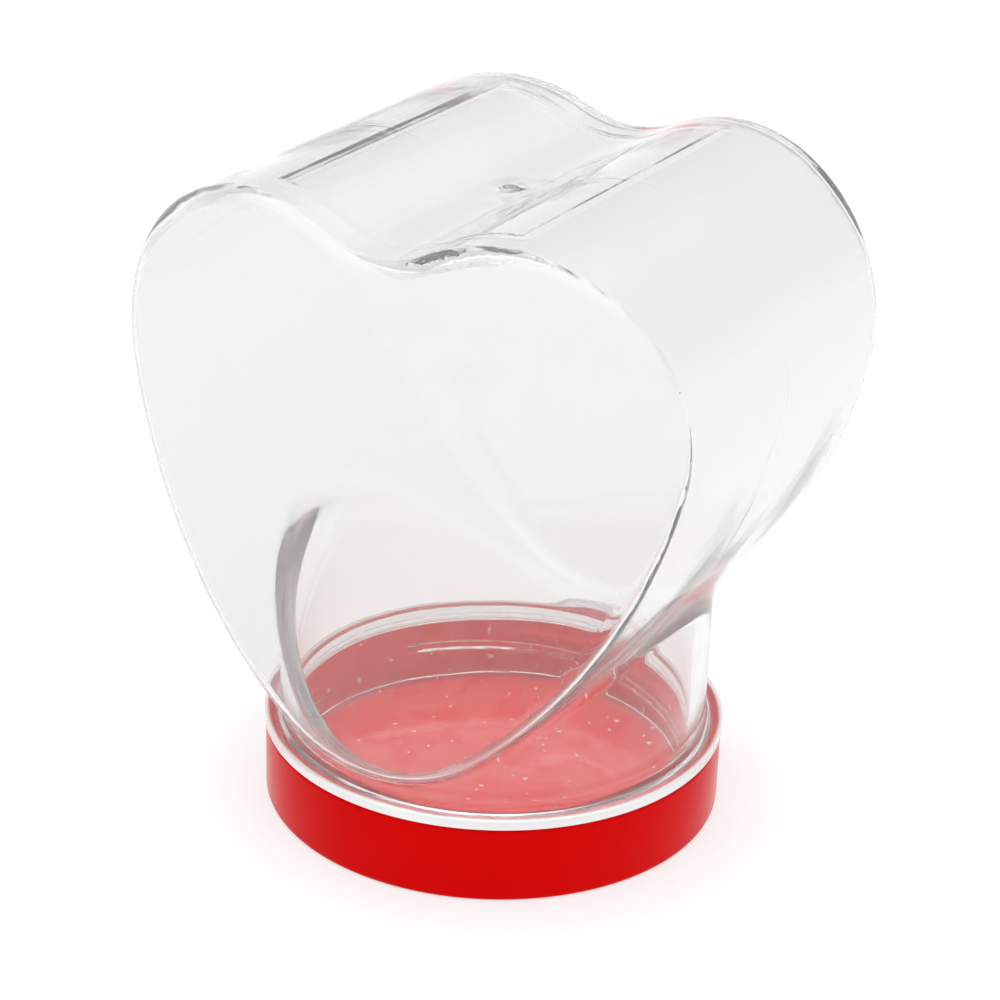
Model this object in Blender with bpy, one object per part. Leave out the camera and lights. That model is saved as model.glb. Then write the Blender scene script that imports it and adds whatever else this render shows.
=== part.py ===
"""Clear heart-shaped jar that stands upside down on its red screw lid.

Metres, +Z up. The origin is the centre of the lid's underside, which rests on the
surface at Z = 0. The jar's mouth points down into the lid, X runs across the heart
and Y through its depth. Three pieces: lid, sealing_disc and jar.
"""
import math

import bmesh
import bpy

# Driving dimensions
FLANGE_RADIUS = 0.0350
NECK_RADIUS = 0.0323
BORE_RADIUS = 0.0299
LID_HEIGHT = 0.0117
HEART_WALL = 0.0014
TOUCH_GAP = 0.0003

# Heart outline: arcs in the XZ plane, with heights above the surface
LOBE_RADIUS = 0.02535
LOBE_X = 0.0197
LOBE_Z = 0.0758
NOTCH_RADIUS = 0.0172
SIDE_RADIUS = 0.0862
TIP_RADIUS = 0.0242
TIP_Z = 0.0167

# Front and back faces: crowned, with their deepest point on the middle line
HALF_DEPTH = 0.0381
FACE_RADIUS_ACROSS = 0.1326
FACE_RADIUS_UP = 0.515
FACE_CROWN_Z = 0.068
EDGE_RADIUS = 0.0022
INNER_EDGE_RADIUS = 0.0012

# Sunk panel across the notch, with the gate mark at its centre
PANEL_HALF_X = 0.0197
PANEL_HALF_Y = 0.0295
PANEL_DEPTH = 0.0004
PANEL_CUT_BOTTOM = 0.0900
PANEL_CUT_TOP = 0.1050
GATE_RADIUS = 0.0015
GATE_BOTTOM = 0.0954
GATE_TOP = 0.0962

# Lid
LID_RADIUS = 0.0348
LID_FLOOR = 0.0015
LID_INNER_RADIUS = 0.0332
LID_EDGE = 0.0006

# Sealing disc
DISC_RADIUS = 0.0313
DISC_THICKNESS = 0.0006

# Neck finish, from the mouth rim up to the flange
RIM_Z = LID_FLOOR + DISC_THICKNESS + 2 * TOUCH_GAP
RIM_EDGE = 0.0004
FINISH_RADIUS = 0.0312
FLANGE_BOTTOM = LID_HEIGHT + TOUCH_GAP
FLANGE_TOP = FLANGE_BOTTOM + 0.0016
FLANGE_EDGE = 0.0003
NECK_FILLET = 0.0014
NECK_TOP = 0.054
BORE_TOP = 0.051

# Two-start right-hand thread
THREAD_LEAD = 0.0080
THREAD_STARTS = 2
JAR_THREAD_SPAN = math.radians(150)
LID_THREAD_SPAN = math.radians(120)
JAR_THREAD_Z = 0.0046
LID_THREAD_Z = JAR_THREAD_Z + THREAD_LEAD / THREAD_STARTS / 2
JAR_CREST_RADIUS = 0.0323
LID_CREST_RADIUS = 0.03175
RIDGE_ROOT_WIDTH = 0.0017
RIDGE_CREST_WIDTH = 0.0007
RIDGE_ROOT_OVERLAP = 0.0004
RIDGE_FADE_STEPS = 2
RIDGE_END_HEIGHT = 0.25

# Mesh resolution
TURN_STEPS = 72
RIDGE_STEP = math.radians(7.5)
NOTCH_STEPS = 3
LOBE_STEPS = 14
SIDE_STEPS = 7
TIP_STEPS = 5
EDGE_STEPS = 2
FILLET_STEPS = 3
FACE_RING_SCALES = (0.35, 0.7)
SMOOTH_ANGLE = math.radians(30)


def clear_scene():
    """Start from an empty scene."""
    for obj in list(bpy.data.objects):
        bpy.data.objects.remove(obj, do_unlink=True)


def make_material(name, colour, roughness, alpha=1.0):
    """One Principled plastic; alpha below 1 marks a clear one."""
    material = bpy.data.materials.new(name)
    material.use_nodes = True
    shader = material.node_tree.nodes["Principled BSDF"]
    shader.inputs["Base Color"].default_value = (*colour, 1.0)
    shader.inputs["Roughness"].default_value = roughness
    shader.inputs["Metallic"].default_value = 0.0
    shader.inputs["Alpha"].default_value = alpha
    return material


def arc(centre, radius, start, end, steps):
    """Points along an arc, both ends included."""
    points = []
    for step in range(steps + 1):
        angle = start + (end - start) * step / steps
        points.append((centre[0] + radius * math.cos(angle), centre[1] + radius * math.sin(angle)))
    return points


def rings_to_object(name, rings, first_point=None, last_point=None):
    """Skin closed rings of points, ending each side in a fan or in one flat face."""
    mesh = bmesh.new()
    loops = [[mesh.verts.new(point) for point in ring] for ring in rings]
    count = len(rings[0])
    for lower, upper in zip(loops, loops[1:]):
        for i in range(count):
            j = (i + 1) % count
            mesh.faces.new((lower[i], lower[j], upper[j], upper[i]))
    for loop, point in ((loops[0], first_point), (loops[-1], last_point)):
        if point is None:
            mesh.faces.new(loop)
            continue
        centre = mesh.verts.new(point)
        for i in range(count):
            mesh.faces.new((loop[i], loop[(i + 1) % count], centre))
    bmesh.ops.recalc_face_normals(mesh, faces=mesh.faces)
    data = bpy.data.meshes.new(name)
    mesh.to_mesh(data)
    mesh.free()
    data.shade_smooth()
    data.set_sharp_from_angle(angle=SMOOTH_ANGLE)
    obj = bpy.data.objects.new(name, data)
    bpy.context.collection.objects.link(obj)
    return obj


def turned(name, profile):
    """Solid of revolution about Z; the profile of (radius, z) ends on flat discs."""
    rings = []
    for radius, z in profile:
        ring = []
        for step in range(TURN_STEPS):
            angle = 2 * math.pi * step / TURN_STEPS
            ring.append((radius * math.cos(angle), radius * math.sin(angle), z))
        rings.append(ring)
    return rings_to_object(name, rings)


def side_arc_centre(tip_centre):
    """Centre of the long side arc, which touches the lobe and the tip from inside."""
    to_lobe = SIDE_RADIUS - LOBE_RADIUS
    to_tip = SIDE_RADIUS - TIP_RADIUS
    dx = tip_centre[0] - LOBE_X
    dz = tip_centre[1] - LOBE_Z
    gap = math.hypot(dx, dz)
    along = (to_lobe ** 2 - to_tip ** 2 + gap ** 2) / (2 * gap)
    across = math.sqrt(to_lobe ** 2 - along ** 2)
    candidates = []
    for sign in (-1, 1):
        x = LOBE_X + (dx * along - sign * dz * across) / gap
        z = LOBE_Z + (dz * along + sign * dx * across) / gap
        candidates.append((x, z))
    return min(candidates)


def heart_outline(inset):
    """Closed heart outline as (x, z), moved inwards by inset, from the notch clockwise."""
    lobe = (LOBE_X, LOBE_Z)
    tip = (0.0, TIP_Z + TIP_RADIUS)
    notch = (0.0, LOBE_Z + math.sqrt((LOBE_RADIUS + NOTCH_RADIUS) ** 2 - LOBE_X ** 2))
    side = side_arc_centre(tip)
    notch_end = math.atan2(lobe[1] - notch[1], lobe[0])
    lobe_end = math.atan2(lobe[1] - side[1], lobe[0] - side[0])
    side_end = math.atan2(tip[1] - side[1], tip[0] - side[0])
    down = -math.pi / 2
    half = arc(notch, NOTCH_RADIUS + inset, down, notch_end, NOTCH_STEPS)
    half += arc(lobe, LOBE_RADIUS - inset, notch_end + math.pi, lobe_end, LOBE_STEPS)[1:]
    half += arc(side, SIDE_RADIUS - inset, lobe_end, side_end, SIDE_STEPS)[1:]
    half += arc(tip, TIP_RADIUS - inset, side_end, down, TIP_STEPS)[1:]
    mirrored = [(-x, z) for x, z in reversed(half[1:-1])]
    return half + mirrored


def face_depth(x, z):
    """Distance of the crowned front or back face from the middle plane."""
    return HALF_DEPTH - x ** 2 / (2 * FACE_RADIUS_ACROSS) - (z - FACE_CROWN_Z) ** 2 / (2 * FACE_RADIUS_UP)


def heart_solid(name, inset, edge_radius):
    """Solid heart block with crowned faces and rounded edges, inset from the outside."""
    rim = heart_outline(inset + edge_radius)
    front = []
    for scale in FACE_RING_SCALES:
        ring = [(x * scale, FACE_CROWN_Z + (z - FACE_CROWN_Z) * scale) for x, z in rim]
        front.append([(x, inset - face_depth(x, z), z) for x, z in ring])
    for step in range(EDGE_STEPS + 1):
        angle = math.pi / 2 * step / EDGE_STEPS
        outline = heart_outline(inset + edge_radius * (1 - math.sin(angle)))
        back_off = inset + edge_radius * (1 - math.cos(angle))
        front.append([(x, back_off - face_depth(x, z), z) for x, z in outline])
    back = [[(x, -y, z) for x, y, z in ring] for ring in reversed(front)]
    crown = face_depth(0.0, FACE_CROWN_Z) - inset
    return rings_to_object(name, front + back, (0.0, -crown, FACE_CROWN_Z), (0.0, crown, FACE_CROWN_Z))


def thread_ridge(name, root_radius, crest_radius, start_angle, start_z, span):
    """One helical ridge of trapezoid section whose two ends fade into the wall."""
    steps = round(span / RIDGE_STEP)
    outward = 1 if crest_radius > root_radius else -1
    buried = root_radius - outward * RIDGE_ROOT_OVERLAP
    rings = []
    for step in range(steps + 1):
        turn = span * step / steps
        fade = min(step, steps - step, RIDGE_FADE_STEPS) / RIDGE_FADE_STEPS
        crest = buried + (crest_radius - buried) * (RIDGE_END_HEIGHT + (1 - RIDGE_END_HEIGHT) * fade)
        angle = start_angle + turn
        z = start_z + THREAD_LEAD * turn / (2 * math.pi)
        section = (
            (buried, -RIDGE_ROOT_WIDTH / 2),
            (crest, -RIDGE_CREST_WIDTH / 2),
            (crest, RIDGE_CREST_WIDTH / 2),
            (buried, RIDGE_ROOT_WIDTH / 2),
        )
        rings.append([(r * math.cos(angle), r * math.sin(angle), z + dz) for r, dz in section])
    return rings_to_object(name, rings)


def boolean(target, tool, operation):
    """Join or cut with a guide object, which stays hidden."""
    modifier = target.modifiers.new(f"{operation.lower()} {tool.name}", "BOOLEAN")
    modifier.operation = operation
    modifier.solver = "EXACT"
    modifier.object = tool
    tool.hide_render = True
    tool.display_type = "WIRE"


def add_thread(target, prefix, root_radius, crest_radius, start_z, span):
    """Join every start of the thread to a piece."""
    for start in range(THREAD_STARTS):
        angle = 2 * math.pi * start / THREAD_STARTS
        name = f"{prefix}_thread_guide_{start + 1}"
        ridge = thread_ridge(name, root_radius, crest_radius, angle, start_z, span)
        boolean(target, ridge, "UNION")


def build_lid(material):
    """Shallow screw lid, open side up, whose underside is the object's foot."""
    top_edge = LID_EDGE / 2
    profile = [
        (LID_RADIUS - LID_EDGE, 0.0),
        (LID_RADIUS, LID_EDGE),
        (LID_RADIUS, LID_HEIGHT - top_edge),
        (LID_RADIUS - top_edge, LID_HEIGHT),
        (LID_INNER_RADIUS + top_edge, LID_HEIGHT),
        (LID_INNER_RADIUS, LID_HEIGHT - top_edge),
        (LID_INNER_RADIUS, LID_FLOOR + LID_EDGE),
        (LID_INNER_RADIUS - LID_EDGE, LID_FLOOR),
    ]
    lid = turned("lid", profile)
    add_thread(lid, "lid", LID_INNER_RADIUS, LID_CREST_RADIUS, LID_THREAD_Z, LID_THREAD_SPAN)
    lid.data.materials.append(material)


def build_sealing_disc(material):
    """Thin flat disc between the lid's floor and the jar's rim."""
    bottom = LID_FLOOR + TOUCH_GAP
    disc = turned("sealing_disc", [(DISC_RADIUS, bottom), (DISC_RADIUS, bottom + DISC_THICKNESS)])
    disc.data.materials.append(material)


def neck_profile():
    """Outside of the neck, from the mouth rim past the flange into the heart."""
    fillet_centre = (NECK_RADIUS + NECK_FILLET, FLANGE_TOP + NECK_FILLET)
    fillet = arc(fillet_centre, NECK_FILLET, 1.5 * math.pi, math.pi, FILLET_STEPS)
    profile = [
        (FINISH_RADIUS - RIM_EDGE, RIM_Z),
        (FINISH_RADIUS, RIM_Z + RIM_EDGE),
        (FINISH_RADIUS, FLANGE_BOTTOM),
        (FLANGE_RADIUS - FLANGE_EDGE, FLANGE_BOTTOM),
        (FLANGE_RADIUS, FLANGE_BOTTOM + FLANGE_EDGE),
        (FLANGE_RADIUS, FLANGE_TOP - FLANGE_EDGE),
        (FLANGE_RADIUS - FLANGE_EDGE, FLANGE_TOP),
    ]
    return profile + fillet + [(NECK_RADIUS, NECK_TOP)]


def panel_cutter():
    """Block that cuts the sunk panel into the heart to an even depth."""
    corners = ((-PANEL_HALF_X, -PANEL_HALF_Y), (PANEL_HALF_X, -PANEL_HALF_Y))
    corners += ((PANEL_HALF_X, PANEL_HALF_Y), (-PANEL_HALF_X, PANEL_HALF_Y))
    rings = [[(x, y, z) for x, y in corners] for z in (PANEL_CUT_BOTTOM, PANEL_CUT_TOP)]
    block = rings_to_object("panel_cutter", rings)
    boolean(block, heart_solid("panel_floor_guide", PANEL_DEPTH, EDGE_RADIUS), "DIFFERENCE")
    return block


def build_jar(material):
    """One moulded shell: heart body, round neck, flange, outside thread and sunk panel."""
    jar = heart_solid("jar", 0.0, EDGE_RADIUS)
    boolean(jar, turned("neck_guide", neck_profile()), "UNION")
    add_thread(jar, "jar", FINISH_RADIUS, JAR_CREST_RADIUS, JAR_THREAD_Z, JAR_THREAD_SPAN)
    boolean(jar, heart_solid("heart_cutter", HEART_WALL, INNER_EDGE_RADIUS), "DIFFERENCE")
    bore = turned("bore_cutter", [(BORE_RADIUS, 0.0), (BORE_RADIUS, BORE_TOP)])
    boolean(jar, bore, "DIFFERENCE")
    boolean(jar, panel_cutter(), "DIFFERENCE")
    boolean(jar, turned("gate_guide", [(GATE_RADIUS, GATE_BOTTOM), (GATE_RADIUS, GATE_TOP)]), "UNION")
    jar.data.materials.append(material)


def main():
    clear_scene()
    build_lid(make_material("lid_red", (0.63, 0.0, 0.0), 0.35))
    build_sealing_disc(make_material("disc_clear", (0.93, 0.95, 0.95), 0.1, alpha=0.2))
    build_jar(make_material("jar_clear", (0.93, 0.95, 0.95), 0.05, alpha=0.2))


main()
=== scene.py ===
"""Looks of the clear heart-shaped jar on its red screw lid.

Fine meshes for the three pieces, their materials, the studio and the camera, in metres.
The jar's skins are the zero surfaces of distance functions, meshed down to the neck and
swept from there along the profile of the neck finish.
"""
import math

import bpy
import numpy as np
from mathutils import Matrix, Vector


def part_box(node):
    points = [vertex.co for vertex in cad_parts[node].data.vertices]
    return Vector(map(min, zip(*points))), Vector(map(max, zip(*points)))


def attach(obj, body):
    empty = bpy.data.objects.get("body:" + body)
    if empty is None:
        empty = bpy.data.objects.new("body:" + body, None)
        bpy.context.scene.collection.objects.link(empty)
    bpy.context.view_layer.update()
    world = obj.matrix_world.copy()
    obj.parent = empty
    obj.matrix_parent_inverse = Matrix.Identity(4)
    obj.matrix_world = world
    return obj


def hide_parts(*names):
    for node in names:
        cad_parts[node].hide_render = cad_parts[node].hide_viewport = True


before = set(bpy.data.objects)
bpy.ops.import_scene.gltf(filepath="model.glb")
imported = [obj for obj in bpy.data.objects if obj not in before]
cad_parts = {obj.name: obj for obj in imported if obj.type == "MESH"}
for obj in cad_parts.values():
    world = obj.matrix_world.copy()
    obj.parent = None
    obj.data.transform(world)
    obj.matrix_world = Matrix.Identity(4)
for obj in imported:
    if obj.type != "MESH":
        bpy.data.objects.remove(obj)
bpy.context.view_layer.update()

# ---------------------------------------------------------------- dimensions (metres)
LOBE_RADIUS = 0.02535
LOBE_X = 0.0197
LOBE_Z = 0.0758
NOTCH_RADIUS = 0.0172
SIDE_RADIUS = 0.0862
TIP_RADIUS = 0.0242
TIP_Z = 0.0167
HALF_DEPTH = 0.0381
FACE_RADIUS_ACROSS = 0.1326
FACE_RADIUS_UP = 0.515
FACE_CROWN_Z = 0.068
EDGE_RADIUS = 0.0022
INNER_EDGE_RADIUS = 0.0015
WALL = 0.0009
BASE_EXTRA_WALL = 0.0008
WAVE_HEIGHT = 0.00005
PARTING_HEIGHT = 0.000014
PARTING_WIDTH = 0.00022

FLANGE_RADIUS = 0.0350
FLANGE_THICKNESS = 0.0016
FLANGE_EDGE = 0.0003
NECK_RADIUS = 0.0323
BORE_RADIUS = 0.0299
FINISH_RADIUS = 0.0312
RIM_EDGE = 0.0004
OUTER_LIP_RADIUS = 0.0306
INNER_LIP_RADIUS = 0.0304
TOUCH_GAP = 0.0003
JUNCTION_RADIUS = 0.0016
INNER_JUNCTION_RADIUS = 0.0024
NECK_FILLET = 0.0014
THREAD_LEAD = 0.0080
THREAD_STARTS = 2
THREAD_CREST_HALF = 0.00035
THREAD_ROOT_HALF = 0.00085
THREAD_FADE = 0.15
JAR_THREAD_SPAN = math.radians(150)
JAR_THREAD_HEIGHT = 0.0011
LID_THREAD_SPAN = math.radians(120)
LID_THREAD_HEIGHT = 0.00145

PANEL_HALF_X = 0.0197
PANEL_HALF_Y = 0.0295
PANEL_CORNER = 0.0020
PANEL_DEPTH = 0.00012
PANEL_SLOPE = 0.0007
GROOVE_INSET = 0.0011
GROOVE_DEPTH = 0.00005
GROOVE_WIDTH = 0.0003
GATE_RING_RADIUS = 0.0013
GATE_RING_WIDTH = 0.00032
GATE_RING_HEIGHT = 0.00022
GATE_DIMPLE_RADIUS = 0.0042
GATE_DIMPLE_DEPTH = 0.00025
SWIRL_HEIGHT = 0.00007
SWIRL_PITCH = 0.0011
SWIRL_REACH = 0.0060

_, lid_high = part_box("lid")
disc_low, disc_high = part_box("sealing_disc")
jar_low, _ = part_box("jar")
LID_RADIUS = lid_high.x
LID_HEIGHT = lid_high.z
LID_INNER_RADIUS = 0.0332
LID_FLOOR = 0.0015
LID_FOOT_EDGE = 0.0009
LID_TOP_EDGE = 0.0004
LID_FLOOR_CORNER = 0.0008
RIM_Z = jar_low.z
FLANGE_BOTTOM = LID_HEIGHT + TOUCH_GAP
FLANGE_TOP = FLANGE_BOTTOM + FLANGE_THICKNESS
JAR_THREAD_Z = 0.0046
LID_THREAD_Z = JAR_THREAD_Z + THREAD_LEAD / THREAD_STARTS / 2

# ---------------------------------------------------------------- mesh resolution
NET_BOTTOM = FLANGE_TOP + NECK_FILLET + 0.0003
NET_TOP = 0.1025
NET_HALF_X = 0.0465
NET_HALF_Y = 0.0395
NET_STEP = 0.0008
NET_FINE_STEP = 0.00025
NET_PARTING_STEP = 0.0001
PANEL_BAND = 0.0010
GATE_BAND = 0.0030
PARTING_BAND = 0.0005
THREAD_ROWS = 44
BORE_ROWS = 14
LID_SEGMENTS = 288
DISC_SEGMENTS = 192
DISC_RINGS = 32

# ---------------------------------------------------------------- studio settings
FLOOR_ALBEDO = 0.40
FLOOR_GLOW = 0.58
SKY_HORIZON = (1.00, 1.00, 1.00)
SKY_FRONT = (0.90, 0.90, 0.90)
SKY_BACK = (0.60, 0.615, 0.61)
SKY_HIGH = (1.60, 1.60, 1.60)
SKY_HORIZON_END_SINE = 0.38
SKY_LOW_SINE = 0.50
SKY_HIGH_SINE = 0.85
JAR_TINT = (0.920, 0.926, 0.923)
JAR_CLEARNESS = 0.97
JAR_IOR = 1.5
DISC_TINT = (0.99, 0.99, 0.99)
DISC_CLEARNESS = 0.985
DISC_IOR = 1.35
FLANGE_EDGE_CLEARNESS = 0.45
PEBBLES_FROM_Z = 0.0968
PEBBLES_FROM_Y = -0.0345
LIGHT_BOUNCES = 48
CLEAR_BOUNCES = 44
GLOSS_BOUNCES = 24

# ---------------------------------------------------------------- camera settings
CAMERA_AZIMUTH = math.radians(30.4)
CAMERA_ELEVATION = math.radians(25.3)
CAMERA_ROLL = math.radians(1.85)
CAMERA_DISTANCE = 0.42
CAMERA_TARGET = (0, 0, 0.0455)
CAMERA_LENS_MM = 101.97
CAMERA_SHIFT_Y = 0.013


# ---------------------------------------------------------------- shape of the jar
def lobe_frame():
    """Centres (x, z) of the lobe, tip, notch and side arcs of the heart outline."""
    lobe = np.array((LOBE_X, LOBE_Z))
    tip = np.array((0.0, TIP_Z + TIP_RADIUS))
    notch = np.array((0.0, LOBE_Z + math.sqrt((LOBE_RADIUS + NOTCH_RADIUS) ** 2 - LOBE_X ** 2)))
    to_lobe = SIDE_RADIUS - LOBE_RADIUS
    to_tip = SIDE_RADIUS - TIP_RADIUS
    span = tip - lobe
    gap = float(np.hypot(*span))
    along = (to_lobe ** 2 - to_tip ** 2 + gap ** 2) / (2 * gap)
    across = math.sqrt(to_lobe ** 2 - along ** 2)
    unit = span / gap
    normal = np.array((-unit[1], unit[0]))
    candidates = [lobe + unit * along + normal * across * sign for sign in (-1, 1)]
    side = min(candidates, key=lambda point: point[0])
    return lobe, tip, notch, side


LOBE, TIP, NOTCH, SIDE = lobe_frame()
NOTCH_END = math.atan2(LOBE[1] - NOTCH[1], LOBE[0] - NOTCH[0])
SIDE_START = math.atan2(LOBE[1] - SIDE[1], LOBE[0] - SIDE[0])
SIDE_END = math.atan2(TIP[1] - SIDE[1], TIP[0] - SIDE[0])


def outline_distance(x, z):
    """Signed distance from the heart outline in the XZ plane, negative inside."""
    x = np.abs(x)
    lobe = np.hypot(x - LOBE[0], z - LOBE[1]) - LOBE_RADIUS
    side = np.hypot(x - SIDE[0], z - SIDE[1]) - SIDE_RADIUS
    tip = np.hypot(x - TIP[0], z - TIP[1]) - TIP_RADIUS
    notch = NOTCH_RADIUS - np.hypot(x - NOTCH[0], z - NOTCH[1])
    side_angle = np.arctan2(z - SIDE[1], x - SIDE[0])
    tip_angle = np.arctan2(z - TIP[1], x - TIP[0])
    notch_angle = np.arctan2(z - NOTCH[1], x - NOTCH[0])
    result = np.where((side_angle < SIDE_START) & (side_angle > SIDE_END), side, lobe)
    result = np.where((tip_angle < SIDE_END) & (z < TIP[1]), tip, result)
    return np.where((notch_angle < NOTCH_END) & (z > LOBE_Z - LOBE_RADIUS / 2), notch, result)


def face_distance(x, y, z):
    """Distance beyond the crowned front or back face."""
    rise = z - FACE_CROWN_Z
    depth = HALF_DEPTH - x ** 2 / (2 * FACE_RADIUS_ACROSS) - rise ** 2 / (2 * FACE_RADIUS_UP)
    slope = np.hypot(x / FACE_RADIUS_ACROSS, rise / FACE_RADIUS_UP)
    return (np.abs(y) - depth) / np.sqrt(1 + slope ** 2)


def rounded_both(a, b, radius):
    """Intersection of two half-spaces with a rounded edge."""
    a = a + radius
    b = b + radius
    return np.minimum(np.maximum(a, b), 0) + np.hypot(np.maximum(a, 0), np.maximum(b, 0)) - radius


def filleted_either(a, b, radius):
    """Union of two solids with a fillet in the corner between them."""
    corner = np.hypot(np.maximum(radius - a, 0), np.maximum(radius - b, 0))
    return np.maximum(radius, np.minimum(a, b)) - corner


def smooth_step(value, low, high):
    """Smooth rise from 0 at low to 1 at high."""
    t = np.clip((value - low) / (high - low), 0, 1)
    return t * t * (3 - 2 * t)


def base_relief(x, y, z):
    """How far the outside of the base is moved inwards: sunk panel, gate mark and flow waves."""
    qx = np.abs(x) - (PANEL_HALF_X - PANEL_CORNER)
    qy = np.abs(y) - (PANEL_HALF_Y - PANEL_CORNER)
    past_corner = np.hypot(np.maximum(qx, 0), np.maximum(qy, 0))
    edge = np.minimum(np.maximum(qx, qy), 0) + past_corner - PANEL_CORNER
    panel = PANEL_DEPTH * smooth_step(-edge, -PANEL_SLOPE, PANEL_SLOPE)
    panel = panel + GROOVE_DEPTH * np.exp(-(((edge + GROOVE_INSET) / GROOVE_WIDTH) ** 2))
    radius = np.hypot(x, y)
    turn = np.arctan2(y, x)
    ring = GATE_RING_HEIGHT * np.exp(-(((radius - GATE_RING_RADIUS) / GATE_RING_WIDTH) ** 2))
    dimple = GATE_DIMPLE_DEPTH * np.exp(-((radius / GATE_DIMPLE_RADIUS) ** 2))
    spiral = np.sin(radius / SWIRL_PITCH + 2.0 * turn + 0.8 * np.sin(3 * turn))
    swirl = SWIRL_HEIGHT * spiral * np.exp(-radius / SWIRL_REACH)
    return np.where(z > LOBE_Z, panel - ring + dimple + swirl, 0.0)


def parting_ridge(y):
    """Fine ridge where the two mould halves meet."""
    return PARTING_HEIGHT * np.exp(-((y / PARTING_WIDTH) ** 2))


def wall_waves(x, y, z):
    """Slow changes of wall thickness left by blowing."""
    a = np.sin(x / 0.0085 + 1.3 * np.sin(z / 0.021 + 0.4) + 0.7)
    b = np.sin(z / 0.0073 + 1.1 * np.sin(y / 0.017 + 1.9) + 2.1)
    c = np.sin((x + y) / 0.0061 + 1.7 * np.sin((z - y) / 0.024))
    return WAVE_HEIGHT * (a + b + 0.7 * c)


def outside(x, y, z):
    """Signed distance from the jar's outer skin above the flange."""
    heart = rounded_both(outline_distance(x, z), face_distance(x, y, z), EDGE_RADIUS)
    heart = heart + base_relief(x, y, z) - parting_ridge(y)
    neck = np.maximum(np.hypot(x, y) - NECK_RADIUS, z - FACE_CROWN_Z)
    return filleted_either(heart, neck, JUNCTION_RADIUS)


def inside(x, y, z):
    """Signed distance from the jar's inner skin above the flange."""
    thick = WALL + wall_waves(x, y, z) * smooth_step(z, 0.018, 0.030)
    thick = thick + BASE_EXTRA_WALL * smooth_step(z, 0.085, 0.094)
    outline = outline_distance(x, z) + thick
    heart = rounded_both(outline, face_distance(x, y, z) + thick, INNER_EDGE_RADIUS)
    bore = np.maximum(np.hypot(x, y) - BORE_RADIUS, z - FACE_CROWN_Z)
    return filleted_either(heart, bore, INNER_JUNCTION_RADIUS)


def gradient(distance, points, step=0.00004):
    """Slope of a distance function at each point."""
    columns = []
    for axis in range(3):
        shift = np.zeros(3)
        shift[axis] = step
        ahead = distance(*(points + shift).T)
        behind = distance(*(points - shift).T)
        columns.append((ahead - behind) / (2 * step))
    return np.stack(columns, axis=1)


# ---------------------------------------------------------------- meshing
def graded_axis(low, high, step, fine_bands):
    """Grid lines of one spacing, with a finer spacing inside the given bands."""
    lines = [low]
    while lines[-1] < high:
        here = lines[-1]
        spacing = step
        for band_low, band_high, band_step in fine_bands:
            if band_low - step <= here < band_high:
                spacing = band_step
        lines.append(here + spacing)
    return np.array(lines)


def surface_net(distance, xs, ys, zs):
    """Quads on the zero surface of a distance function, open at the lowest grid plane.

    Returns points, quads and the indices of the points of the open edge."""
    grid = distance(*np.meshgrid(xs, ys, zs, indexing="ij"))
    axes = (xs, ys, zs)
    shape = tuple(n - 1 for n in grid.shape)
    total = np.zeros((*shape, 3))
    hits = np.zeros(shape)
    crossings = []
    for axis in range(3):
        low = [slice(None)] * 3
        high = [slice(None)] * 3
        low[axis] = slice(None, -1)
        high[axis] = slice(1, None)
        a = grid[tuple(low)]
        b = grid[tuple(high)]
        crossing = (a < 0) != (b < 0)
        t = np.where(crossing, a / np.where(crossing, a - b, 1), 0)
        crossings.append((crossing, a < 0))
        place = list(np.meshgrid(*[line[:n] for line, n in zip(axes, t.shape)], indexing="ij"))
        gaps = np.diff(axes[axis]).reshape([-1 if k == axis else 1 for k in range(3)])
        place[axis] = place[axis] + t * gaps
        others = [k for k in range(3) if k != axis]
        for first in (0, 1):
            for second in (0, 1):
                window = [slice(None)] * 3
                window[others[0]] = slice(first, first + shape[others[0]])
                window[others[1]] = slice(second, second + shape[others[1]])
                window = tuple(window)
                cut = crossing[window]
                hits += cut
                for k in range(3):
                    total[..., k] += np.where(cut, place[k][window], 0)
    cells = np.argwhere(hits > 0)
    index = np.full(shape, -1)
    index[tuple(cells.T)] = np.arange(len(cells))
    points = total[tuple(cells.T)] / hits[tuple(cells.T)][:, None]
    quads = []
    for axis, (crossing, below) in enumerate(crossings):
        u, v = [k for k in range(3) if k != axis]
        where = np.argwhere(crossing)
        across, along = where[:, u], where[:, v]
        keep = (across > 0) & (along > 0) & (across < shape[u]) & (along < shape[v])
        where = where[keep]
        corners = []
        for du, dv in ((-1, -1), (0, -1), (0, 0), (-1, 0)):
            cell = where.copy()
            cell[:, u] += du
            cell[:, v] += dv
            corners.append(index[tuple(cell.T)])
        quad = np.stack(corners, axis=1)
        outward = below[tuple(where.T)] if axis != 1 else ~below[tuple(where.T)]
        quads.append(np.where(outward[:, None], quad, quad[:, ::-1]))
    rim = index[:, :, 0]
    rim = rim[rim >= 0]
    points[rim, 2] = zs[0]
    return points, np.concatenate(quads), rim


def settle(distance, points, fixed, rounds=3):
    """Move points onto the zero surface."""
    for _ in range(rounds):
        slope = gradient(distance, points)
        slope[fixed, 2] = 0
        square = np.maximum((slope ** 2).sum(axis=1), 0.05)
        step = distance(*points.T) / square
        points = points - slope * np.clip(step, -0.001, 0.001)[:, None]
    return points


def sorted_rim(points, rim):
    """Indices of the open edge's points in order round the axis, with their angles."""
    angles = np.arctan2(points[rim, 1], points[rim, 0])
    order = np.argsort(angles)
    return rim[order], angles[order]


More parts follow.
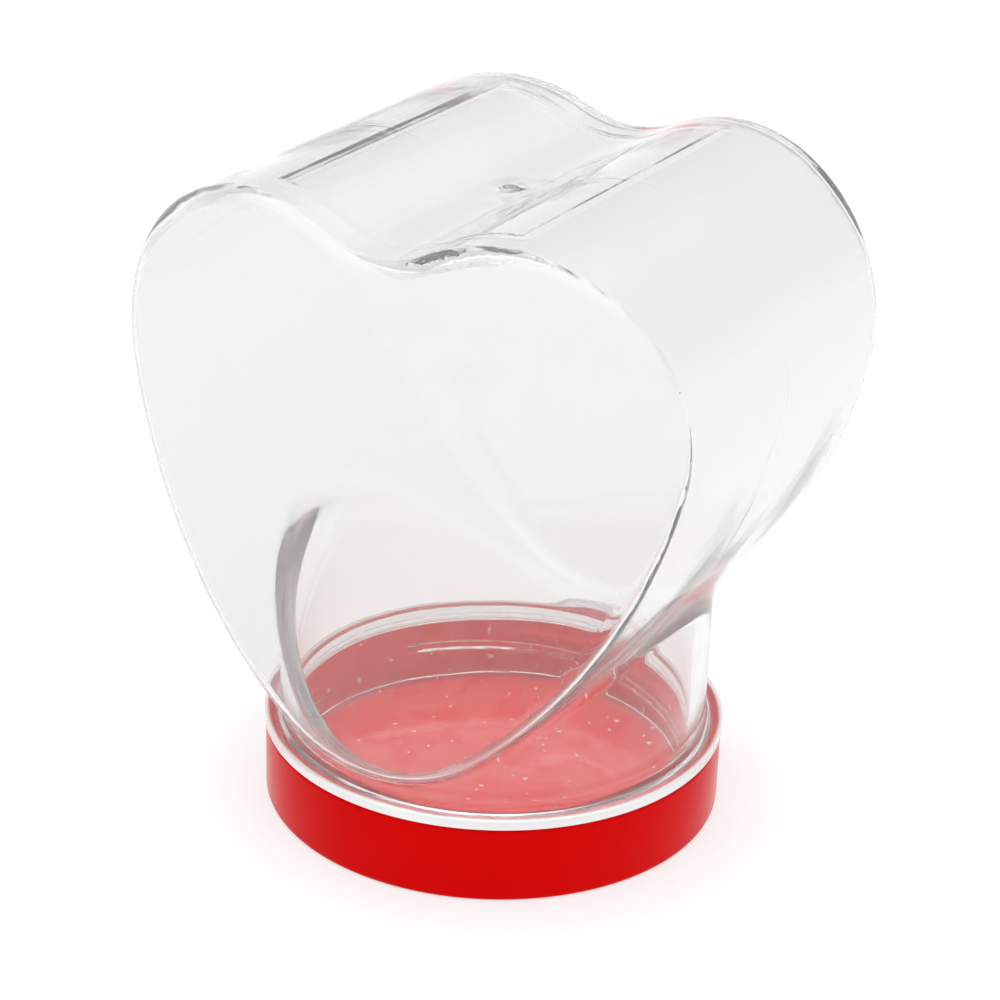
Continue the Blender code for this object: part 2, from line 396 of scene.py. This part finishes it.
def thread_height(angle, z, start_z, span, crest):
    """Radial height of the helical ridges at an angle and height, as an array."""
    height = np.zeros(np.broadcast(angle, z).shape)
    for start in range(THREAD_STARTS):
        turn = np.mod(angle - 2 * math.pi * start / THREAD_STARTS, 2 * math.pi)
        line = start_z + THREAD_LEAD * turn / (2 * math.pi)
        across = 1 - smooth_step(np.abs(z - line), THREAD_CREST_HALF, THREAD_ROOT_HALF)
        fade = smooth_step(turn, 0.0, THREAD_FADE) * (1 - smooth_step(turn, span - THREAD_FADE, span))
        height = np.maximum(height, across * fade)
    return height * crest


def arc_points(centre, radius, start, end, steps):
    """Points along an arc, both ends included."""
    angles = np.linspace(start, end, steps + 1)
    return [(centre[0] + radius * math.cos(a), centre[1] + radius * math.sin(a)) for a in angles]


def rounded_profile(corners, steps=4):
    """A polyline of (radius, z, corner radius) with its corners rounded."""
    result = []
    for i, (r, z, size) in enumerate(corners):
        here = np.array((r, z))
        if size == 0 or i in (0, len(corners) - 1):
            result.append((r, z))
            continue
        before = np.array(corners[i - 1][:2]) - here
        after = np.array(corners[i + 1][:2]) - here
        before /= np.hypot(*before)
        after /= np.hypot(*after)
        for step in range(steps + 1):
            t = step / steps
            p = here + size * ((1 - t) ** 2 * before + t ** 2 * after)
            result.append(tuple(p))
    return result


def strip(lower, upper, flip=False):
    """Quads between two closed rows of point indices of the same length."""
    quads = np.stack([lower, np.roll(lower, -1), np.roll(upper, -1), upper], axis=1)
    return quads[:, ::-1] if flip else quads


def zip_rows(first, first_angles, second, second_angles, flip=False):
    """Triangles between two closed rows of different length, both sorted by angle."""
    faces = []
    i = 0
    j = 0
    n = len(first)
    m = len(second)
    a = np.append(first_angles, first_angles[0] + 2 * math.pi)
    b = np.append(second_angles, second_angles[0] + 2 * math.pi)
    while i < n or j < m:
        if j >= m or (i < n and a[i + 1] <= b[j + 1]):
            face = (first[i % n], first[(i + 1) % n], second[j % m])
            i += 1
        else:
            face = (first[i % n], second[(j + 1) % m], second[j % m])
            j += 1
        faces.append(face[::-1] if flip else face)
    return faces


def mesh_object(name, points, faces, normals=None, known=None):
    """Smooth mesh object; known marks the points whose exact normals are given."""
    mesh = bpy.data.meshes.new(name)
    mesh.from_pydata([tuple(p) for p in points], [], [tuple(int(i) for i in f) for f in faces])
    mesh.validate()
    mesh.shade_smooth()
    if normals is not None:
        own = np.zeros(len(points) * 3, np.float32)
        mesh.vertex_normals.foreach_get("vector", own)
        own = own.reshape(-1, 3)
        own[known] = normals
        mesh.normals_split_custom_set_from_vertices(own)
    obj = bpy.data.objects.new(name, mesh)
    bpy.context.collection.objects.link(obj)
    return obj


class Builder:
    """Collects points and faces of one mesh."""

    def __init__(self):
        self.points = []
        self.faces = []
        self.count = 0

    def add(self, points):
        """Add points and return their indices."""
        points = np.asarray(points, float).reshape(-1, 3)
        start = self.count
        self.points.append(points)
        self.count += len(points)
        return np.arange(start, self.count)

    def row(self, radius, z, angles):
        """Add one closed row of points round the axis and return their indices."""
        radius = np.broadcast_to(radius, angles.shape)
        z = np.broadcast_to(z, angles.shape)
        return self.add(np.stack([radius * np.cos(angles), radius * np.sin(angles), z], axis=1))

    def sweep(self, row, profile, angles, flip=False):
        """Continue a skin from a row along (radius, z) pairs and return its last row."""
        for radius, z in profile:
            following = self.row(radius, z, angles)
            self.face(strip(row, following, flip))
            row = following
        return row

    def face(self, faces):
        self.faces.extend([tuple(int(i) for i in f) for f in faces])

    def object(self, name, normals=None, known=None):
        return mesh_object(name, np.concatenate(self.points), self.faces, normals, known)


def net_lines():
    """Grid lines in X and Y, fine along the panel's edges, the gate and the parting line."""
    x_bands = [(-PANEL_HALF_X - PANEL_BAND, -PANEL_HALF_X + PANEL_BAND, NET_FINE_STEP)]
    x_bands += [(-GATE_BAND, GATE_BAND, NET_FINE_STEP)]
    x_bands += [(PANEL_HALF_X - PANEL_BAND, PANEL_HALF_X + PANEL_BAND, NET_FINE_STEP)]
    y_bands = [(-PANEL_HALF_Y - PANEL_BAND, -PANEL_HALF_Y + PANEL_BAND, NET_FINE_STEP)]
    y_bands += [(-GATE_BAND, -PARTING_BAND, NET_FINE_STEP)]
    y_bands += [(-PARTING_BAND, PARTING_BAND, NET_PARTING_STEP)]
    y_bands += [(PARTING_BAND, GATE_BAND, NET_FINE_STEP)]
    y_bands += [(PANEL_HALF_Y - PANEL_BAND, PANEL_HALF_Y + PANEL_BAND, NET_FINE_STEP)]
    xs = graded_axis(-NET_HALF_X, NET_HALF_X, NET_STEP, x_bands)
    ys = graded_axis(-NET_HALF_Y, NET_HALF_Y, NET_STEP, y_bands)
    return xs, ys


def neck_outside(angles):
    """Profile of the neck's outside from the meshed skin down to the mouth."""
    fillet_centre = (NECK_RADIUS + NECK_FILLET, FLANGE_TOP + NECK_FILLET)
    profile = arc_points(fillet_centre, NECK_FILLET, math.pi, 1.5 * math.pi, 8)
    profile += rounded_profile(
        [
            (*profile[-1], 0),
            (FLANGE_RADIUS, FLANGE_TOP, FLANGE_EDGE),
            (FLANGE_RADIUS, FLANGE_BOTTOM, FLANGE_EDGE),
            (FINISH_RADIUS, FLANGE_BOTTOM, FLANGE_EDGE),
            (FINISH_RADIUS, FLANGE_BOTTOM - 0.0008, 0),
        ]
    )[1:]
    for z in np.linspace(FLANGE_BOTTOM - 0.0010, RIM_Z + 0.0006, THREAD_ROWS):
        ridge = thread_height(angles, z, JAR_THREAD_Z, JAR_THREAD_SPAN, JAR_THREAD_HEIGHT)
        profile.append((FINISH_RADIUS + ridge, z))
    profile += mouth_edge(FINISH_RADIUS, OUTER_LIP_RADIUS)
    return profile


def neck_inside():
    """Profile of the bore from the meshed skin down to the mouth."""
    heights = np.linspace(NET_BOTTOM - 0.001, RIM_Z + 0.0006, BORE_ROWS)
    return [(BORE_RADIUS, z) for z in heights] + mouth_edge(BORE_RADIUS, INNER_LIP_RADIUS)


def mouth_edge(radius, lip_radius):
    """Rounded edge of the mouth between a wall and the flat of the rim."""
    corners = [(radius, RIM_Z + 0.0005, 0), (radius, RIM_Z, RIM_EDGE), (lip_radius, RIM_Z, 0)]
    return rounded_profile(corners)[1:]


def make_jar():
    """The whole moulding: heart skin outside and inside, neck, flange, thread and mouth."""
    outer_lines = net_lines()
    inner_lines = (
        graded_axis(-NET_HALF_X, NET_HALF_X, NET_STEP, []),
        graded_axis(-NET_HALF_Y, NET_HALF_Y, NET_STEP, []),
    )
    zs = graded_axis(NET_BOTTOM, NET_TOP, NET_STEP, [])
    builder = Builder()
    normals = []
    rims = []
    for distance, lines, turn_over in ((outside, outer_lines, False), (inside, inner_lines, True)):
        points, quads, rim = surface_net(distance, *lines, zs)
        points = settle(distance, points, rim)
        slope = gradient(distance, points)
        slope /= np.linalg.norm(slope, axis=1)[:, None]
        ids = builder.add(points)
        builder.face(ids[quads][:, ::-1] if turn_over else ids[quads])
        normals.append(-slope if turn_over else slope)
        rim, angles = sorted_rim(points, rim)
        rims.append((ids[rim], angles))
    known = np.arange(builder.count)
    outer_rim, outer_angles = rims[0]
    inner_rim, inner_angles = rims[1]
    outer_end = builder.sweep(outer_rim, neck_outside(outer_angles), outer_angles, flip=True)
    inner_end = builder.sweep(inner_rim, neck_inside(), inner_angles)
    builder.face(zip_rows(outer_end, outer_angles, inner_end, inner_angles, flip=True))
    return builder.object("jar_shell", np.concatenate(normals), known)


def turned_piece(name, rows, segments):
    """Closed turned mesh from (radius, z) rows; either may be a function of the angles."""
    builder = Builder()
    angles = np.linspace(-math.pi, math.pi, segments, endpoint=False)
    profile = []
    for radius, z in rows:
        radius = radius(angles) if callable(radius) else radius
        z = z(angles) if callable(z) else z
        profile.append((radius, z))
    first = builder.row(*profile[0], angles)
    last = builder.sweep(first, profile[1:], angles)
    ends = ((first, builder.points[0], True), (last, builder.points[-1], False))
    for ring, ring_points, flip in ends:
        centre = builder.add([(0, 0, float(ring_points[0][2]))])[0]
        fan = [(ring[i], ring[(i + 1) % len(ring)], centre) for i in range(len(ring))]
        builder.face([face[::-1] for face in fan] if flip else fan)
    return builder.object(name)


def make_lid():
    """Red lid: flat panel, rounded smooth skirt and inside thread."""
    rows = [(0.010, 0.0), (0.020, 0.0), (0.030, 0.0)]
    rows += rounded_profile(
        [
            (LID_RADIUS - 0.0020, 0.0, 0),
            (LID_RADIUS, 0.0, LID_FOOT_EDGE),
            (LID_RADIUS, LID_HEIGHT, LID_TOP_EDGE),
            (LID_INNER_RADIUS, LID_HEIGHT, LID_TOP_EDGE),
            (LID_INNER_RADIUS, LID_HEIGHT - 0.0010, 0),
        ],
        steps=6,
    )

    def threaded(z):
        def radius(angles):
            ridge = thread_height(angles, z, LID_THREAD_Z, LID_THREAD_SPAN, LID_THREAD_HEIGHT)
            return LID_INNER_RADIUS - ridge
        return radius

    for z in np.linspace(LID_HEIGHT - 0.0012, LID_FLOOR + 0.0012, THREAD_ROWS):
        rows.append((threaded(z), z))
    corner = [
        (LID_INNER_RADIUS, LID_FLOOR + 0.0010, 0),
        (LID_INNER_RADIUS, LID_FLOOR, LID_FLOOR_CORNER),
        (0.0315, LID_FLOOR, 0),
    ]
    rows += rounded_profile(corner, steps=6)[1:]
    rows += [(radius, LID_FLOOR) for radius in (0.026, 0.020, 0.014, 0.008)]
    return turned_piece("lid_shell", rows, LID_SEGMENTS)


def disc_wave(radius, base):
    """Height of the disc at one radius, gently wavy round the turn."""
    def height(angles):
        x = radius * np.cos(angles)
        y = radius * np.sin(angles)
        wave = np.sin(x / 0.0062 + 0.8) * np.sin(y / 0.0071 + 0.3) + 0.6 * np.sin((x - y) / 0.0043)
        return base + 0.00004 * wave
    return height


def make_disc():
    """Thin clear disc, a little wavy, lying on the lid's floor."""
    edge = disc_high.x
    radii = np.linspace(0.001, edge - 0.0002, DISC_RINGS)
    low = disc_low.z
    high = disc_high.z
    rows = [(radius, disc_wave(radius, low + 0.00005)) for radius in radii]
    rows += [(edge, low + 0.0001), (edge, high - 0.0001)]
    rows += [(radius, disc_wave(radius, high - 0.00005)) for radius in radii[::-1]]
    return turned_piece("clear_disc", rows, DISC_SEGMENTS)


# ---------------------------------------------------------------- materials
def new_material(name):
    """A material with its nodes, links and Principled shader."""
    material = bpy.data.materials.new(name)
    material.use_nodes = True
    nodes = material.node_tree.nodes
    return material, nodes, material.node_tree.links, nodes["Principled BSDF"]


def noise(nodes, links, scale, detail, roughness):
    """Noise in object space, about 0.5 on average."""
    coords = nodes.new("ShaderNodeTexCoord")
    texture = nodes.new("ShaderNodeTexNoise")
    texture.inputs["Scale"].default_value = scale
    texture.inputs["Detail"].default_value = detail
    texture.inputs["Roughness"].default_value = roughness
    links.new(coords.outputs["Object"], texture.inputs["Vector"])
    return texture.outputs["Fac"]


def remap(nodes, links, value, low, high, to_low=0.0, to_high=1.0):
    """Clamped linear map of a value from one range to another."""
    node = nodes.new("ShaderNodeMapRange")
    node.inputs["From Min"].default_value = low
    node.inputs["From Max"].default_value = high
    node.inputs["To Min"].default_value = to_low
    node.inputs["To Max"].default_value = to_high
    links.new(value, node.inputs["Value"])
    return node.outputs["Result"]


def mix_colours(nodes, links, factor, first, second):
    """Mix two colours, each a fixed triple or another node's output."""
    node = nodes.new("ShaderNodeMix")
    node.data_type = "RGBA"
    links.new(factor, node.inputs["Factor"])
    sockets = [i for i in node.inputs if i.type == "RGBA"]
    for socket, colour in zip(sockets, (first, second)):
        if isinstance(colour, tuple):
            socket.default_value = (*colour, 1)
        else:
            links.new(colour, socket)
    return next(o for o in node.outputs if o.type == "RGBA")


def multiplied(nodes, links, first, second):
    """Product of two values."""
    node = nodes.new("ShaderNodeMath")
    node.operation = "MULTIPLY"
    links.new(first, node.inputs[0])
    links.new(second, node.inputs[1])
    return node.outputs["Value"]


def place(nodes, links):
    """Outputs that give a point's distance from the neck axis, its Y and its height."""
    coords = nodes.new("ShaderNodeTexCoord")
    split = nodes.new("ShaderNodeSeparateXYZ")
    links.new(coords.outputs["Object"], split.inputs["Vector"])
    flat = nodes.new("ShaderNodeVectorMath")
    flat.operation = "MULTIPLY"
    flat.inputs[1].default_value = (1, 1, 0)
    links.new(coords.outputs["Object"], flat.inputs[0])
    radius = nodes.new("ShaderNodeVectorMath")
    radius.operation = "LENGTH"
    links.new(flat.outputs["Vector"], radius.inputs[0])
    return radius.outputs["Value"], split.outputs["Y"], split.outputs["Z"]


def bump(nodes, links, height, strength, distance, below=None):
    """Normal from a height, on top of another bump's normal if one is given."""
    node = nodes.new("ShaderNodeBump")
    node.inputs["Strength"].default_value = strength
    node.inputs["Distance"].default_value = distance
    links.new(height, node.inputs["Height"])
    if below is not None:
        links.new(below, node.inputs["Normal"])
    return node.outputs["Normal"]


def clear_plastic(name, tint, clearness, ior, lowest_roughness, highest_roughness):
    """Clear moulded polystyrene: a little haze, soft ripples and faint scuffs."""
    material, nodes, links, shader = new_material(name)
    shader.inputs["Base Color"].default_value = (*tint, 1)
    shader.inputs["Transmission Weight"].default_value = clearness
    shader.inputs["IOR"].default_value = ior
    scuffs = noise(nodes, links, 240, 6, 0.65)
    roughness = remap(nodes, links, scuffs, 0.45, 0.75, lowest_roughness, highest_roughness)
    links.new(roughness, shader.inputs["Roughness"])
    ripples = noise(nodes, links, 60, 2, 0.4)
    links.new(bump(nodes, links, ripples, 0.15, 0.0004), shader.inputs["Normal"])
    return material


def red_plastic():
    """Bright red moulded lid with a fine satin grain, wet-looking patches and painted light: a lighter
    red inside, for light falling in through the jar.
    """
    material, nodes, links, shader = new_material("lid_red_plastic")
    tone = remap(nodes, links, noise(nodes, links, 45, 3, 0.5), 0.3, 0.7)
    skirt = mix_colours(nodes, links, tone, (0.58, 0.0, 0.0), (0.63, 0.001, 0.0005))
    # Painted light: the lid's inside gets a lighter red (0.84) than the skirt (0.58 to 0.63), standing
    # in for the light that reaches it through the jar; the patches and specks vary that lighter red.
    patches = remap(nodes, links, noise(nodes, links, 160, 4, 0.6), 0.52, 0.58)
    panel = mix_colours(nodes, links, patches, (0.84, 0.050, 0.040), (0.84, 0.002, 0.001))
    specks = remap(nodes, links, noise(nodes, links, 620, 2, 0.5), 0.69, 0.71)
    panel = mix_colours(nodes, links, specks, panel, (0.95, 0.70, 0.68))
    # Mask of the lid's inside, within the inner radius and up from the floor's top, where the painted
    # lighter red goes.
    radius, _, height = place(nodes, links)
    inner = remap(nodes, links, radius, LID_INNER_RADIUS + 0.0005, LID_INNER_RADIUS)
    raised = remap(nodes, links, height, LID_FLOOR / 3, LID_FLOOR)
    inside = multiplied(nodes, links, inner, raised)
    links.new(mix_colours(nodes, links, inside, skirt, panel), shader.inputs["Base Color"])
    shader.inputs["IOR"].default_value = 1.5
    shader.inputs["Specular IOR Level"].default_value = 0.02
    shader.inputs["Sheen Weight"].default_value = 0.50
    shader.inputs["Sheen Roughness"].default_value = 0.3
    grain = noise(nodes, links, 900, 4, 0.6)
    links.new(remap(nodes, links, grain, 0.3, 0.7, 0.28, 0.40), shader.inputs["Roughness"])
    links.new(bump(nodes, links, grain, 0.12, 0.00008), shader.inputs["Normal"])
    return material


def jar_plastic():
    """The jar's plastic, with a frosted flange edge and a pebbled rim round the lobes."""
    material = clear_plastic("jar_clear_plastic", JAR_TINT, JAR_CLEARNESS, JAR_IOR, 0.0, 0.06)
    nodes = material.node_tree.nodes
    links = material.node_tree.links
    shader = nodes["Principled BSDF"]
    radius, y, height = place(nodes, links)
    edge = remap(nodes, links, radius, FLANGE_RADIUS - 0.0008, FLANGE_RADIUS - 0.0003)
    low = remap(nodes, links, height, FLANGE_TOP + 0.0003, FLANGE_TOP)
    frosted = multiplied(nodes, links, edge, low)
    clearness = remap(nodes, links, frosted, 0.0, 1.0, JAR_CLEARNESS, FLANGE_EDGE_CLEARNESS)
    links.new(clearness, shader.inputs["Transmission Weight"])
    colour = mix_colours(nodes, links, frosted, JAR_TINT, (1.0, 1.0, 1.0))
    links.new(colour, shader.inputs["Base Color"])
    high = remap(nodes, links, height, PEBBLES_FROM_Z, PEBBLES_FROM_Z + 0.0010)
    front = remap(nodes, links, y, PEBBLES_FROM_Y, PEBBLES_FROM_Y - 0.0008)
    grain = noise(nodes, links, 1400, 1, 0.4)
    pebbles = multiplied(nodes, links, grain, multiplied(nodes, links, high, front))
    ripples = shader.inputs["Normal"].links[0].from_socket
    links.new(bump(nodes, links, pebbles, 0.2, 0.0003, ripples), shader.inputs["Normal"])
    return material


def dress(obj, material, body, node):
    """Give a piece its material, hang it on the body it rides on and hide the imported part it stands
    for.
    """
    obj.data.materials.clear()
    obj.data.materials.append(material)
    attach(obj, body)
    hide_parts(node)


# ---------------------------------------------------------------- studio
def floor_material():
    """Pale floor, lit from within just enough to read as plain white."""
    material, nodes, links, shader = new_material("floor_white")
    shader.inputs["Base Color"].default_value = (FLOOR_ALBEDO, FLOOR_ALBEDO, FLOOR_ALBEDO, 1)
    shader.inputs["Roughness"].default_value = 0.9
    shader.inputs["Specular IOR Level"].default_value = 0.0
    shader.inputs["Emission Color"].default_value = (1, 1, 1, 1)
    shader.inputs["Emission Strength"].default_value = FLOOR_GLOW
    return material


def make_floor():
    """Plain floor at Z = 0."""
    bpy.ops.mesh.primitive_plane_add(size=6.0, location=(0, 0, 0))
    floor = bpy.context.object
    floor.name = "studio_floor"
    floor.data.materials.append(floor_material())


def make_world():
    """Sky of a white tent under a softbox: greyer behind and low down, bright overhead."""
    world = bpy.data.worlds.new("studio")
    bpy.context.scene.world = world
    world.use_nodes = True
    nodes = world.node_tree.nodes
    links = world.node_tree.links
    coords = nodes.new("ShaderNodeTexCoord")
    split = nodes.new("ShaderNodeSeparateXYZ")
    links.new(coords.outputs["Generated"], split.inputs["Vector"])
    backwards = remap(nodes, links, split.outputs["Y"], -0.3, 0.8)
    upwards = remap(nodes, links, split.outputs["Z"], SKY_LOW_SINE, SKY_HIGH_SINE)
    low = mix_colours(nodes, links, backwards, SKY_FRONT, SKY_BACK)
    rising = remap(nodes, links, split.outputs["Z"], 0.0, SKY_HORIZON_END_SINE)
    low = mix_colours(nodes, links, rising, SKY_HORIZON, low)
    sky = mix_colours(nodes, links, upwards, low, SKY_HIGH)
    paths = nodes.new("ShaderNodeLightPath")
    seen = mix_colours(nodes, links, paths.outputs["Is Camera Ray"], sky, (1.0, 1.0, 1.0))
    links.new(seen, nodes["Background"].inputs["Color"])


def make_camera():
    """Camera to the front right, looking down, with a slight roll."""
    level = math.cos(CAMERA_ELEVATION)
    back = Vector(
        (math.sin(CAMERA_AZIMUTH) * level, -math.cos(CAMERA_AZIMUTH) * level, math.sin(CAMERA_ELEVATION))
    )
    right = Vector((0, 0, 1)).cross(back).normalized()
    up = back.cross(right)
    rolled_right = right * math.cos(CAMERA_ROLL) + up * math.sin(CAMERA_ROLL)
    rolled_up = up * math.cos(CAMERA_ROLL) - right * math.sin(CAMERA_ROLL)
    data = bpy.data.cameras.new("camera")
    data.sensor_width = 36.0
    data.lens = CAMERA_LENS_MM
    data.shift_y = CAMERA_SHIFT_Y
    data.clip_start = 0.01
    camera = bpy.data.objects.new("camera", data)
    bpy.context.collection.objects.link(camera)
    rotation = Matrix((rolled_right, rolled_up, back)).transposed().to_4x4()
    position = Vector(CAMERA_TARGET) + back * CAMERA_DISTANCE
    camera.matrix_world = Matrix.Translation(position) @ rotation
    bpy.context.scene.camera = camera


def main():
    jar_material = jar_plastic()
    disc_material = clear_plastic("disc_clear_plastic", DISC_TINT, DISC_CLEARNESS, DISC_IOR, 0.03, 0.20)
    dress(make_jar(), jar_material, "jar", "jar")
    dress(make_disc(), disc_material, "sealing_disc", "sealing_disc")
    dress(make_lid(), red_plastic(), "lid", "lid")
    make_floor()
    make_world()
    make_camera()
    scene = bpy.context.scene
    scene.view_settings.view_transform = "Standard"
    scene.cycles.max_bounces = LIGHT_BOUNCES
    scene.cycles.transmission_bounces = CLEAR_BOUNCES
    scene.cycles.glossy_bounces = GLOSS_BOUNCES
    scene.cycles.blur_glossy = 0.0


main()
